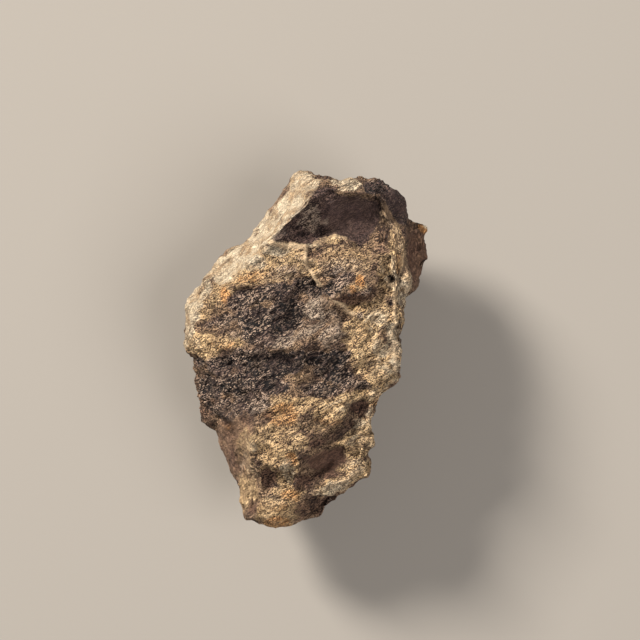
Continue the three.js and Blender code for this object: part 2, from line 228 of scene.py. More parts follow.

# Pale, dusty skin on the flank outside the crest, and painted light on the edges that stand proud, on the lip
# below the hollow and on the right-hand strip that faces away from the key light.
PALE_SKIN_AND_LIGHT = [
    (-0.4, 19.6, 2.0, 1.6, 0, 1.0),
    (-1.9, 17.0, 1.5, 2.6, -40, 1.0),
    (-4.2, 14.2, 1.9, 2.2, -40, 0.9),
    (-6.9, 11.5, 2.8, 1.5, 35, 0.95),
    (-9.6, 9.3, 2.4, 1.4, 38, 1.0),
    (-12.2, 7.0, 2.2, 1.0, 40, 0.75),
    (-13.4, 4.6, 1.1, 2.4, -15, 0.9),
    (-13.8, 1.8, 0.8, 1.6, 0, 0.7),
    (-11.4, 6.0, 1.6, 0.9, 35, 0.1),
    (4.6, 19.3, 2.0, 0.8, -5, 0.75),
    # Painted light on the right-hand strip, which faces away from the key light.
    (10.8, -0.2, 1.0, 3.0, 0, 1.0),
    (8.8, 0.2, 1.4, 1.2, 0, 0.6),
    (10.2, 1.8, 1.0, 1.4, 0, 0.7),
    (11.7, 8.0, 0.8, 1.4, 0, 1.0),
    (10.2, 8.0, 0.9, 1.3, 0, 0.85),
    (11.4, 6.0, 0.8, 1.0, 0, 0.95),
    (6.2, -8.3, 0.8, 0.7, 20, 0.5),
    (3.6, -6.2, 2.6, 0.9, 0, 0.35),
    (9.0, 1.6, 2.0, 3.6, 0, 0.3),
    (6.4, -1.6, 1.0, 1.4, 0, 0.3),
    (9.4, 10.0, 1.3, 1.3, 0, 0.4),
    (6.0, -10.4, 1.2, 0.9, 20, 0.4),
    (7.8, -7.6, 0.8, 1.1, 20, 0.5),
    (-6.4, -14.2, 0.7, 1.2, 0, 0.35),
    (11.0, 5.4, 0.8, 3.6, 0, 0.35),
    (7.0, -9.6, 1.5, 1.6, 0, 0.4),
    (-6.2, -11.1, 0.6, 0.8, 0, 0.5),
    (-7.2, -13.0, 0.5, 1.6, -12, 0.4),
    (9.6, -3.2, 0.9, 1.2, 0, 0.4),
    (10.7, 12.6, 0.5, 1.4, 0, 0.35),
    (14.3, 14.7, 0.5, 0.5, 0, 0.8),
    # Painted highlight along the lit lip below the hollow.
    (-0.6, 12.1, 2.6, 0.28, 0, 0.7),
    (3.4, -16.1, 2.5, 1.0, 20, 0.75),
    (5.9, -13.9, 1.2, 0.8, 35, 0.5),
    (9.0, 3.0, 1.0, 0.8, 0, 0.5),
    (-3.4, 11.6, 2.2, 0.7, 5, 0.9),
    (-5.6, 10.2, 1.4, 0.9, 30, 0.85),
    (0.2, 10.4, 0.8, 0.9, 0, 0.4),
    (7.8, 4.2, 1.2, 0.7, 0, 0.35),
    (5.8, -13.2, 1.4, 1.0, 20, 0.5),
    (-3.6, -17.6, 1.4, 1.0, 0, 0.4),
    (-12.9, 0.6, 0.9, 0.8, 0, 0.4),
    (8.2, 3.9, 1.6, 1.0, 0, 0.6),
    (8.2, -1.8, 1.6, 1.4, 0, 0.4),
    (8.6, -5.2, 1.2, 1.0, 0, 0.35),
    (-2.2, -14.0, 1.0, 1.5, 0, 0.55),
]

# Painted sheen on the crust's lit slopes and in the hollow's shadowed upper left, grey specks, and where the
# surface is greyer than its finish.
GREY_SHEEN = [
    (1.4, 5.6, 1.2, 1.0, 0, 0.5),
    (1.1, 4.6, 1.1, 1.2, -20, 1.0),
    (0.4, 2.3, 2.0, 0.8, 25, 0.65),
    (-2.2, 0.9, 1.8, 0.6, 20, 0.6),
    (2.6, 1.8, 1.6, 1.3, 0, 0.6),
    (3.0, 3.8, 1.0, 1.0, 0, 0.4),
    (9.2, 3.0, 0.6, 0.6, 0, 0.4),
    (6.3, 4.1, 0.6, 0.5, 0, 0.7),
    (-5.6, -6.4, 1.3, 0.9, 0, 0.5),
    (3.8, 3.2, 0.7, 0.9, 0, 0.4),
    (3.6, 9.8, 3.4, 1.2, 5, 0.4),
    (-2.6, 8.8, 2.8, 1.2, 12, 0.45),
    (-2.2, 10.4, 1.8, 0.8, 10, 0.35),
    (1.4, 2.6, 2.4, 1.6, 0, 0.15),
    # Painted light in the hollow's shadowed upper left.
    (0.6, 15.2, 1.7, 1.5, -40, 0.5),
]

# Where the surface is calm: the hollow, the flanks, the corner facet, the flange and the lower dip.
CALM = [
    (5.2, 15.6, 3.6, 2.6, 0, 0.8),
    (10.8, 16.8, 1.8, 2.4, 0, 0.8),
    (13.2, 11.0, 1.9, 4.4, 0, 0.7),
    (-2.6, 17.0, 2.2, 5.0, -40, 0.6),
    (-8.6, 10.6, 5.6, 2.0, 38, 0.6),
    (-13.6, 5.0, 1.2, 3.6, -15, 0.5),
    (-9.0, -12.0, 2.6, 6.0, -18, 0.8),
    (-7.0, -17.6, 1.6, 3.6, 0, 0.7),
    (-3.4, -19.6, 3.2, 2.2, 0, 0.4),
    (2.4, -12.7, 2.4, 1.3, 8, 0.8),
]

# Where the grain runs along the stone: the hollow's right wall, the strip below it, the flange and the lower-left
# flank.
UPRIGHT = [
    (9.2, 14.8, 1.0, 3.0, 8, 1.0),
    (10.6, 10.0, 0.9, 4.4, 0, 1.0),
    (13.0, 11.2, 1.8, 4.4, 5, 1.0),
    (10.9, 4.4, 0.7, 3.4, 0, 1.0),
    (-7.6, -14.6, 1.6, 4.4, -10, 0.8),
]

# Ridges and grooves, as (half width, rise, how pale its crest is, points). A negative rise is a groove. The pale
# crest is partly a tan vein and partly a painted highlight along lit ridges, such as the lip and the right-hand
# rib.
SCORES = [
    (0.28, 0.30, 1.0, [(-3.9, 12.5), (-2.5, 12.1), (-1.0, 12.1), (0.1, 12.0)]),
    (0.25, 0.18, 0.5, [(1.2, 12.3), (2.3, 13.0), (3.5, 13.4), (4.6, 13.0)]),
    (0.19, 0.26, 1.0, [(0.1, 12.0), (0.0, 10.6), (0.2, 9.6), (0.65, 9.1), (1.1, 8.3), (1.6, 7.5)]),
    (0.45, -0.40, 0.0, [(2.5, 7.0), (3.9, 5.95), (5.5, 5.45), (7.0, 5.6), (8.4, 6.4)]),
    (0.19, 0.28, 1.0, [(2.9, 6.0), (3.7, 5.5), (4.4, 5.2), (5.0, 4.5), (5.6, 4.3)]),
    (
        0.17, 0.34, 0.8,
        [(9.4, 8.6), (9.8, 7.7), (10.2, 7.3), (10.3, 6.0), (10.2, 4.7), (10.3, 3.2), (10.0, 1.7)],
    ),
    (0.30, 0.30, 0.25, [(9.0, 15.8), (9.8, 14.6), (10.6, 13.7), (11.2, 12.0), (11.5, 9.4), (11.6, 7.0)]),
    (0.22, 0.25, 0.4, [(10.0, 1.7), (10.3, 0.0), (10.5, -3.0)]),
    (0.30, -0.40, 0.0, [(9.5, 10.5), (9.6, 9.0), (9.9, 8.0), (9.9, 6.5), (9.9, 5.2)]),
    (0.28, -0.20, 0.0, [(11.0, 13.0), (11.2, 9.0), (11.1, 5.0)]),
    (0.95, 0.95, 0.0, [(-10.3, 9.7), (-11.2, 8.4)]),
    (0.90, 0.35, 0.0, [(3.0, 6.7), (1.3, 5.1), (0.9, 3.4), (-0.6, 2.1), (-2.2, 1.0), (-3.4, 0.6)]),
    (0.60, -0.22, 0.0, [(-0.4, 6.8), (-0.7, 5.0), (-2.2, 3.4)]),
    (0.40, 0.20, 0.0, [(3.4, 2.0), (5.6, 3.4)]),
    (0.40, 0.20, 0.0, [(3.6, 0.9), (5.8, 0.6)]),
    (0.50, -0.30, 0.0, [(-6.0, -0.8), (-3.0, -1.4), (0.0, -1.0), (2.5, -1.3)]),
    (0.55, -0.45, 0.0, [(6.1, -6.5), (6.7, -6.8)]),
    (0.50, -0.30, 0.0, [(4.6, -8.6), (5.7, -9.0)]),
    (0.70, -0.40, 0.0, [(1.0, -13.8), (2.4, -13.2), (3.8, -12.2), (4.4, -11.4)]),
    (0.45, -0.35, 0.0, [(-4.6, -14.3), (-4.4, -16.0)]),
    (0.45, 0.25, 0.3, [(1.2, -16.6), (3.0, -15.9), (4.8, -15.0), (6.2, -13.8)]),
    (0.50, -0.30, 0.0, [(0.8, -18.9), (2.2, -18.2), (3.6, -17.2)]),
    (0.35, -0.25, 0.0, [(-6.4, -17.4), (-6.1, -19.2)]),
    (
        0.50, 0.22, 0.0,
        [(-12.6, -4.0), (-10.4, -6.6), (-7.2, -8.9), (-6.1, -10.6), (-5.9, -12.6), (-5.1, -14.2)],
    ),
    (0.30, -0.20, 0.0, [(-13.2, -0.7), (-12.0, -1.5), (-10.6, -1.8), (-9.2, -1.5)]),
]


def settled(patches):
    """The patches with the cosine and sine of their turn worked out."""
    return [
        (x, y, w, h, math.cos(math.radians(turn)), math.sin(math.radians(turn)), strength)
        for x, y, w, h, turn, strength in patches
    ]


# Each finish's patches, and how soft their borders are.
FINISHES = {
    "crust": (settled(BLACK_CRUST), 0.6),
    "shade": (settled(DARK_BREAK_SHADE), 0.7),
    "red": (settled(RED_SKIN), 0.9),
    "tan": (settled(TAN_STAIN), 0.8),
    "rust": (settled(RUST), 0.9),
    "pale_and_lit": (settled(PALE_SKIN_AND_LIGHT), 0.7),
    "sheen": (settled(GREY_SHEEN), 0.9),
    "calm": (settled(CALM), 0.6),
    "upright": (settled(UPRIGHT), 0.3),
}

# What the sides and the underside add in two broad drifts, as (finish, strength, how it follows the first drift,
# how it follows the second, where it starts, where it is full).
UNDERSIDE = [
    ("crust", 0.8, 1, 0, 0.0, 0.35),
    ("tan", 0.4, -1, 0, 0.0, 0.3),
    ("red", 0.8, 0, 1, -0.1, 0.3),
    ("rust", 0.3, 0, -1, 0.25, 0.45),
    ("pale_and_lit", 0.3, -1, -1, 0.4, 0.7),
]
UNDERSIDE_CALM = 0.35
FIRST_DRIFT = (6.0, Vector((3.7, 0.0, 9.1)))  # size in mm, and where its noise is taken
SECOND_DRIFT = (5.0, Vector((0.0, 8.3, 2.2)))
DRIFT_RAGGED = 0.4  # how ragged the drifts' borders are

# Borders between finishes.
BLOTCH_SIZE = 2.1  # mm
FRAY_SIZE = 0.8  # mm
BLOTCH_SHARE = 0.30
FRAY_SHARE = 0.38
FACING_RAGGED = 0.5  # how ragged the change from the upper finishes to the underside's is
FACING_RANGE = (-0.55, 0.05)  # the upward lean of the surface over which it changes
OUTLINE_RAGGED = 0.45  # how ragged the hollow's and the facet's borders are
OUTLINE_BORDER = (-0.12, 0.18)  # mm over which they fade
FACET_SHADOW_SHARE = 0.6  # how much of the hollow's finish the corner facet has
SCORE_FRAY_SIZE = 0.35  # mm
CREST_MARK = (0.25, 0.65)  # share of the way up a score over which its crest is marked


def patch_strength(x, y, ragged, patches, border):
    """How strongly the patches cover a place, 0 to 1."""
    most = 0.0
    for px, py, w, h, cosine, sine, strength in patches:
        across, along = x - px, y - py
        if abs(across) + abs(along) > 2 * (w + h):
            continue
        u = (across * cosine + along * sine) / w
        v = (along * cosine - across * sine) / h
        cover = strength * smoothstep(1.0 + 0.5 * border - math.hypot(u, v) + ragged, 0.0, border)
        most = max(most, cover)
    return most


def distance_to(x, y, start, end):
    """Distance from a place to a straight piece of line."""
    dx, dy = end[0] - start[0], end[1] - start[1]
    share = min(max(((x - start[0]) * dx + (y - start[1]) * dy) / (dx * dx + dy * dy), 0.0), 1.0)
    return math.hypot(x - start[0] - share * dx, y - start[1] - share * dy)


def inside(x, y, ragged, outline):
    """How far a place is inside an outline, 0 to 1, with a ragged border."""
    nearest, within = math.inf, False
    for (ax, ay), (bx, by) in zip(outline, outline[1:] + outline[:1]):
        nearest = min(nearest, distance_to(x, y, (ax, ay), (bx, by)))
        if (ay > y) != (by > y) and x < ax + (y - ay) * (bx - ax) / (by - ay):
            within = not within
    depth = nearest if within else -nearest
    return smoothstep(depth + OUTLINE_RAGGED * ragged, *OUTLINE_BORDER)


def score_rise(x, y, wander):
    """Height in mm that the ridges and grooves add at a place, and how strongly a crest there is marked."""
    rise = crest = 0.0
    for half_width, height, mark, points in SCORES:
        nearest = margin = 4 * half_width
        for start, end in zip(points, points[1:]):
            (left, right), (low, high) = sorted((start[0], end[0])), sorted((start[1], end[1]))
            if left - margin < x < right + margin and low - margin < y < high + margin:
                nearest = min(nearest, distance_to(x, y, start, end))
        reach = (nearest + wander * half_width) / (2 * half_width)
        if reach < 1:
            rise += height * smoothstep(1 - reach, 0.0, 1.0)
            crest = max(crest, mark * smoothstep(1 - reach, *CREST_MARK))
    return rise, crest


# ---------------------------------------------------------------- the stone's surface

MERGE_GAP = 0.001  # mm within which the solid's doubled corners are merged
CUTS = 3  # new points along each edge of the solid
EASING_ROUNDS = 5  # how often the solid's sharp facets are eased
EASING = 0.5

# The broken relief, as (size in mm, depth in mm).
LUMPS = (2.3, 0.40)
LEDGES = (2.2, 0.17)
SHARDS = (1.1, 0.18)
CRUMBS = (0.5, 0.22)
GRAINS = (0.25, 0.09)
LEDGE_OFFSET = Vector((2.9, 5.1, 0.7))
CRUMB_OFFSET = Vector((7.1, 3.3, 1.9))
LEDGE_LEVELS = 3.5
LEDGE_RISE = (0.30, 0.70)  # the part of each ledge that rises
SHARD_CREST = 0.65
SHARD_SLOPE = 2.6
SHARD_FLOOR = -0.15
SWAY_SIZE = 1.9  # mm
SWAY = 0.45  # mm
SWAY_OFFSETS = (Vector((0.0, 3.2, 6.7)), Vector((8.4, 5.5, 1.2)), Vector((3.8, 2.3, 4.9)))
CALM_SMOOTHS = 0.75  # how much of the fine relief a calm surface loses
CALM_FLATTENS = 0.4  # how much of the lumps it loses
CRUST_ROUGHENS = 0.6
STREAK_TURN = 33  # degrees from +X that the shards and crumbs are drawn out along
STREAK = 0.42  # their thickness across that direction against their length along it
SETTLE = 0.05  # mm that the relief as a whole lies below the solid's faces
REST_FADE = (0.02, 1.2)  # mm above the flat spot over which the relief fades in
LEAST_CAVITY_SHADING = 0.3
# How much each part of the relief adds to the painted cavity shading: painted shade in a gap, painted light on a
# crest.
SHARD_SHADING = 0.20
CRUMB_SHADING = 0.35
GRAIN_SHADING = 0.30
LUMP_SHADING = 0.12

DRAWN_OUT = Matrix.Diagonal((STREAK, 1.0, 1.0)) @ Matrix.Rotation(math.radians(-STREAK_TURN), 3, "Z")


def ledges(point):
    """Flat treads with short rises between them, one unit high each."""
    level = LEDGE_LEVELS * noise.noise(point)
    tread = math.floor(level)
    return tread + smoothstep(level - tread, *LEDGE_RISE) - 0.5


def ridges(point):
    """Sharp crests with flat floors between them."""
    return max(SHARD_CREST - SHARD_SLOPE * abs(noise.noise(point)), SHARD_FLOOR)


def sway(place):
    """A slow sideways shift in mm, so that the broken pattern has no straight rows."""
    point = place / SWAY_SIZE
    return SWAY * Vector((noise.noise(point + offset) for offset in SWAY_OFFSETS))


def relief(place, calm, crust):
    """Height of the broken surface in mm, and its painted cavity shading, low for painted shade in a gap to 1 on a
    crest.
    """
    drawn = DRAWN_OUT @ (place + sway(place))
    lumps = noise.noise(place / LUMPS[0])
    shards = ridges(drawn / SHARDS[0])
    crumbs = noise.noise(drawn / CRUMBS[0] + CRUMB_OFFSET)
    grains = noise.noise(drawn / GRAINS[0])
    roughness = (1.0 - CALM_SMOOTHS * calm) * (1.0 + CRUST_ROUGHENS * crust)
    height = LUMPS[1] * lumps * (1.0 - CALM_FLATTENS * calm)
    height += LEDGES[1] * roughness * ledges(drawn / LEDGES[0] + LEDGE_OFFSET)
    height += roughness * (SHARDS[1] * shards + CRUMBS[1] * crumbs + GRAINS[1] * grains)
    # Painted cavity shading: darker in the relief's gaps, lighter on its crests.
    cavity_shading = SHARD_SHADING * shards + CRUMB_SHADING * crumbs + GRAIN_SHADING * grains
    cavity_shading = 0.5 + roughness * cavity_shading + LUMP_SHADING * lumps
    return height - SETTLE, min(max(cavity_shading, LEAST_CAVITY_SHADING), 1.0)


def fine_copy():
    """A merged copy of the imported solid, cut finely and with its facets eased."""
    bm = bmesh.new()
    bm.from_mesh(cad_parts["meteorite"].data)
    bmesh.ops.remove_doubles(bm, verts=bm.verts, dist=MERGE_GAP * MM)
    bmesh.ops.subdivide_edges(bm, edges=bm.edges, cuts=CUTS, use_grid_fill=True)
    for _ in range(EASING_ROUNDS):
        bmesh.ops.smooth_vert(
            bm, verts=bm.verts, factor=EASING, use_axis_x=True, use_axis_y=True, use_axis_z=True
        )
    bm.normal_update()
    return bm


def drifting(place, drift, ragged):
    """A broad drift's value at a place."""
    size, offset = drift
    return noise.noise(place / size + offset) + DRIFT_RAGGED * ragged


def finishes_at(place, faces_up, ragged):
    """How strongly each finish covers a place. The sides and the underside have them in broad drifts."""
    found = dict.fromkeys((*FINISHES, "hollow"), 0.0)
    if faces_up:
        for name, (patches, border) in FINISHES.items():
            found[name] = faces_up * patch_strength(place.x, place.y, ragged, patches, border)
    if faces_up < 1:
        under = 1 - faces_up
        first = drifting(place, FIRST_DRIFT, ragged)
        second = drifting(place, SECOND_DRIFT, ragged)
        for name, strength, with_first, with_second, start, full in UNDERSIDE:
            found[name] += under * strength * smoothstep(with_first * first + with_second * second, start, full)
        found["calm"] += under * UNDERSIDE_CALM
    if faces_up:
        # Painted shadow: the hollow dark as in the crest's cast shadow, the corner facet dark as in shade, with
        # crust black.
        facet_shadow = faces_up * inside(place.x, place.y, ragged, CORNER_FACET_SHADE)
        found["hollow"] = max(faces_up * inside(place.x, place.y, ragged, HOLLOW_SHADOW_OUTLINE), FACET_SHADOW_SHARE * facet_shadow)
        found["crust"] = max(found["crust"], facet_shadow)
    return found


def make_stone():
    """The stone's whole surface in one piece. Its finishes are marks on its points."""
    bm = fine_copy()
    marks = {name: [] for name in (*FINISHES, "hollow", "crest", "cavity_shading")}
    places = []
    for vert in bm.verts:
        place = vert.co / MM
        frayed = noise.noise(place / FRAY_SIZE)
        ragged = BLOTCH_SHARE * noise.noise(place / BLOTCH_SIZE) + FRAY_SHARE * frayed
        faces_up = smoothstep(vert.normal.z + FACING_RAGGED * ragged, *FACING_RANGE)
        found = finishes_at(place, faces_up, ragged)
        height, found["cavity_shading"] = relief(place, found["calm"], found["crust"])
        found["crest"] = 0.0
        if faces_up:
            wander = 0.5 * frayed + 0.5 * noise.noise(place / SCORE_FRAY_SIZE)
            rise, crest = score_rise(place.x, place.y, wander)
            height += faces_up * rise
            found["crest"] = faces_up * crest
        height *= smoothstep(place.z, *REST_FADE)
        places.append(vert.co + vert.normal * (height * MM))
        for name, values in marks.items():
            values.append(found[name])
    for vert, place in zip(bm.verts, places):
        vert.co = place
        vert.co.z = max(vert.co.z, 0.0)
    mesh = bpy.data.meshes.new("broken_surface")
    bm.to_mesh(mesh)
    bm.free()
    for name, values in marks.items():
        attribute = mesh.attributes.new(name, "FLOAT", "POINT")
        attribute.data.foreach_set("value", values)
    mesh.polygons.foreach_set("use_smooth", [True] * len(mesh.polygons))
    stone = bpy.data.objects.new("broken_surface", mesh)
    bpy.context.scene.collection.objects.link(stone)
    return stone


# ---------------------------------------------------------------- materials


class Nodes:
    """Short names for adding and joining shader nodes in one tree."""

    def __init__(self, tree):
        self.tree = tree
        tree.nodes.clear()

    def add(self, kind, **settings):
        node = self.tree.nodes.new(kind)
        for name, value in settings.items():
            setattr(node, name, value)
        return node

    def join(self, out, into):
        self.tree.links.new(out, into)

    def put(self, value, socket):
        """Joins an output to the socket, or sets the socket's own value."""
        if isinstance(value, bpy.types.NodeSocket):
            self.join(value, socket)
        else:
            socket.default_value = value

    def mark(self, name):
        """One of the marks on the stone's points."""
        return self.add("ShaderNodeAttribute", attribute_name=name).outputs["Fac"]

    def math(self, operation, a, b=0.0, c=0.0):
        node = self.add("ShaderNodeMath", operation=operation)
        self.put(a, node.inputs[0])
        self.put(b, node.inputs[1])
        self.put(c, node.inputs[2])
        return node.outputs[0]

    def times(self, a, b):
        return self.math("MULTIPLY", a, b)

    def spread(self, value, low, high, out_low=0.0, out_high=1.0):
        """A soft ramp from one output level to the other."""
        node = self.add("ShaderNodeMapRange", interpolation_type="SMOOTHSTEP")
        self.join(value, node.inputs["Value"])
        node.inputs["From Min"].default_value = low
        node.inputs["From Max"].default_value = high
        node.inputs["To Min"].default_value = out_low
        node.inputs["To Max"].default_value = out_high
        return node.outputs["Result"]

    def blend(self, share, a, b, mode="MIX"):
        node = self.add("ShaderNodeMix", data_type="RGBA", blend_type=mode)
        self.put(share, node.inputs["Factor"])
        self.put(a, node.inputs["A"])
        self.put(b, node.inputs["B"])
        return node.outputs["Result"]

    def tinted(self, body, tint):
        return self.blend(1.0, body, tint, "MULTIPLY")

    def lay(self, place, turn=0.0, stretch=(1.0, 1.0, 1.0)):
        """The place stretched, and then turned by that many degrees about +Z."""
        node = self.add("ShaderNodeMapping")
        self.join(place, node.inputs["Vector"])
        node.inputs["Rotation"].default_value = (0.0, 0.0, math.radians(turn))
        node.inputs["Scale"].default_value = stretch
        return node.outputs["Vector"]

    def moved(self, place, size, amount):
        """The place moved about by up to half that amount in mm, in drifts of that size."""
        drift = self.add("ShaderNodeTexNoise")
        self.join(place, drift.inputs["Vector"])
        drift.inputs["Scale"].default_value = 1 / (size * MM)
        drift.inputs["Detail"].default_value = 1.0
        shift = self.add("ShaderNodeVectorMath", operation="MULTIPLY_ADD")
        self.join(drift.outputs["Color"], shift.inputs[0])
        shift.inputs[1].default_value = (amount * MM,) * 3
        self.join(place, shift.inputs[2])
        return shift.outputs["Vector"]

    def speckle(self, place, size, detail, roughness=0.6):
        """Fine noise with features of that size in mm, 0 to 1."""
        node = self.add("ShaderNodeTexNoise")
        self.join(place, node.inputs["Vector"])
        node.inputs["Scale"].default_value = 1 / (size * MM)
        node.inputs["Detail"].default_value = detail
        node.inputs["Roughness"].default_value = roughness
        node.inputs["Distortion"].default_value = 0.0
        return node.outputs["Fac"]

    def cells(self, place, size):
        """Cells about that size in mm."""
        node = self.add("ShaderNodeTexVoronoi", feature="F1")
        self.join(place, node.inputs["Vector"])
        node.inputs["Scale"].default_value = 1 / (size * MM)
        return node

    def chips(self, place, size):
        """Chips about that thick in mm, each of its own strength, 1 on the strongest and 0 between."""
        cells = self.cells(place, size)
        parts = self.add("ShaderNodeSeparateColor")
        self.join(cells.outputs["Color"], parts.inputs["Color"])
        body = self.spread(cells.outputs["Distance"], *CHIP_BODY, 1.0, 0.0)
        return self.times(body, self.math("MULTIPLY_ADD", parts.outputs["Red"], 1 - LEAST_CHIP, LEAST_CHIP))

    def tilted_tops(self, place, size):
        """The height of angular flakes about that size in mm, each with its own tilt."""
        cells = self.cells(place, size)
        reach = self.add("ShaderNodeVectorMath", operation="SUBTRACT")
        self.join(place, reach.inputs[0])
        self.join(cells.outputs["Position"], reach.inputs[1])
        lean = self.add("ShaderNodeVectorMath", operation="SUBTRACT")
        self.join(cells.outputs["Color"], lean.inputs[0])
        lean.inputs[1].default_value = (0.5, 0.5, 0.5)
        top = self.add("ShaderNodeVectorMath", operation="DOT_PRODUCT")
        self.join(reach.outputs["Vector"], top.inputs[0])
        self.join(lean.outputs["Vector"], top.inputs[1])
        return top.outputs["Value"]

    def strands(self, place, size):
        """Thin raised strands about that far apart in mm, 1 on a strand and 0 between."""
        across = self.math("ABSOLUTE", self.math("SUBTRACT", self.speckle(place, size, 1.0, 0.5), 0.5))
        return self.spread(across, 0.0, STRAND_WIDTH, 1.0, 0.0)

    def broken(self, mark, grain):
        """A mark's strength with its soft border broken up into islands by the grain."""
        return self.spread(self.math("ADD", mark, self.math("SUBTRACT", grain, 0.5)), *ISLANDS)


def colour(red, green, blue):
    """A display colour, 0 to 255 in each channel, as the shader's linear colour."""

    def linear(level):
        level /= 255
        return level / 12.92 if level < 0.04045 else ((level + 0.055) / 1.055) ** 2.4

    return (linear(red), linear(green), linear(blue), 1.0)


BODY = colour(142, 117, 93)
BODY_DARK = colour(92, 72, 60)
CRUST_BLACK = colour(35, 26, 28)
CRUST_BROWN = colour(66, 49, 47)
SHADE_BROWN = colour(94, 68, 56)
HOLLOW_SHADOW_PLUM = colour(78, 60, 58)
SKIN_RED = colour(122, 92, 74)
TAN = colour(172, 144, 107)
TAN_PALE = colour(192, 164, 126)
RUST_ORANGE = colour(188, 136, 84)
CREAM = colour(210, 194, 168)
CREAM_TAN = colour(178, 152, 120)
SHEEN_GREY = colour(168, 151, 134)
VEIN_TAN_AND_HIGHLIGHT = colour(232, 202, 164)
WORN_PALE_HIGHLIGHT = colour(212, 182, 158)
# Tints for painted shade in the fine pattern's gaps and painted highlights on its crests.
GAP_SHADE_TINT = (0.16, 0.12, 0.12, 1.0)
CREST_HIGHLIGHT_TINT = (1.95, 1.90, 1.82, 1.0)
STAIN_TINT = (0.74, 0.71, 0.69, 1.0)

# How fully each finish hides what lies below it.
COVER = {
    "red": 0.8, "rust": 0.8, "pale_and_lit": 0.9, "crust": 0.97, "shade": 0.85, "hollow": 0.9, "sheen": 0.9, "crest": 0.9,
}

# How the grain lies.
GRAIN_DRIFT = 2.6  # mm, the size of the drifts in which the grain is moved about
GRAIN_SHIFT = 0.7  # mm that the drawn-out grain is moved by, at most half of it each way
STOOD_SHIFT = 0.5  # mm, the same for the upright grain
GRAIN_STREAK = 0.25  # the drawn-out grain's thickness against its length
LAYER_STREAK = 0.30  # the same for the second layer of chips
LAYER_TURN = 38  # degrees that the second layer's cells are turned by, so that they don't repeat the first's
STOOD_STREAK = 0.28  # the upright grain's thickness against its length

# The patterns' sizes in mm.
MOTTLE = 1.9
STAIN = 0.85
STOOD_STAIN = 0.55
PATCHES = 1.3
ISLAND_GRAIN = 0.5
GLINTS = 0.8
FIBRES = 0.19
STOOD_FIBRES = 0.25
CHIPS = 0.17
CRUST_CHIPS = 0.15
STOOD_CHIPS = 0.23
GRIT = 0.13
FLAKES = 0.22
SLABS = 0.75

# The patterns' own levels.
CHIP_BODY = (0.28, 0.74)  # distance from a chip's middle over which it fades
LEAST_CHIP = 0.1  # the faintest chip's strength
STRAND_WIDTH = 0.14
ISLANDS = (0.16, 0.80)
GRIT_LEVELS = (0.33, 0.67)
BODY_MOTTLE = (0.38, 0.62)
TAN_MOTTLE = (0.35, 0.65)
CREAM_MOTTLE = (0.40, 0.66)
CRUST_MOTTLE = (0.40, 0.64)
STAIN_LEVELS = (0.34, 0.62)

# What the fine pattern is made of. A pair gives the share on bare chondrite and on full crust.
SECOND_LAYER = 0.85
CRUST_RANGE = (0.3, 1.0)
CHIP_SHARE = (0.54, 0.66)
GRIT_SHARE = (0.36, 0.22)
FIBRE_SHARE = 0.14
STOOD_CHIP_SHARE = 0.50
STOOD_FIBRE_SHARE = 0.42

# How the fine pattern and the relief's painted cavity shading become painted shade in the gaps and painted
# highlights on the crests.
CAVITY_SHADING_SHARE = 0.18
CONTRAST_RANGE = (0.2, 1.0)  # the crust's strength over which the contrast and its middle change
CONTRAST = (1.4, 2.5)
CONTRAST_MIDDLE = (0.475, 0.495)
MIDDLE_LEVEL = 0.46
GAP_SHADE_LEVELS = (0.43, 0.33)
CREST_HIGHLIGHT_LEVELS = (0.45, 0.55)
WORN_HIGHLIGHT_LEVELS = (0.52, 0.61)
CALM_DEPTH = (1.0, 0.35)
PATCHY_DEPTH = (0.35, 0.60, 0.75, 1.0)
VEIN_DEPTH = (1.0, 0.35)
PALE_DEPTH = (1.0, 0.75)
# Where the worn pale points and painted highlights show: on the crust, less where it is whole, and in patches.
WORN_HIGHLIGHTS_ON_CRUST = (0.12, 1.0)
WORN_HIGHLIGHTS_WHOLE_CRUST = (0.80, 1.0, 1.0, 0.35)
WORN_HIGHLIGHT_GLINTS = (0.38, 0.60, 0.25, 1.0)

ROUGHNESS = (0.25, 0.55, 0.75, 0.95)
CRUST_GLOSS = 0.12  # how much less rough the crust is
SPECULAR_LEVEL = 0.3
FLAKE_BUMP = 2.6
SLAB_BUMP = 1.4
FINE_BUMP = 0.28 * MM
CALM_BUMP = (1.15, 0.40)
FLAKE_SHIFT = (0.30, 0.10)  # size of the drift and amount, in mm
SLAB_SHIFT = (0.5, 0.30)


def layered_chips(n, drawn, again, size):
    """Two layers of chips of that thickness in mm, the second a little fainter."""
    return n.math("MAXIMUM", n.chips(drawn, size), n.times(n.chips(again, size), SECOND_LAYER))


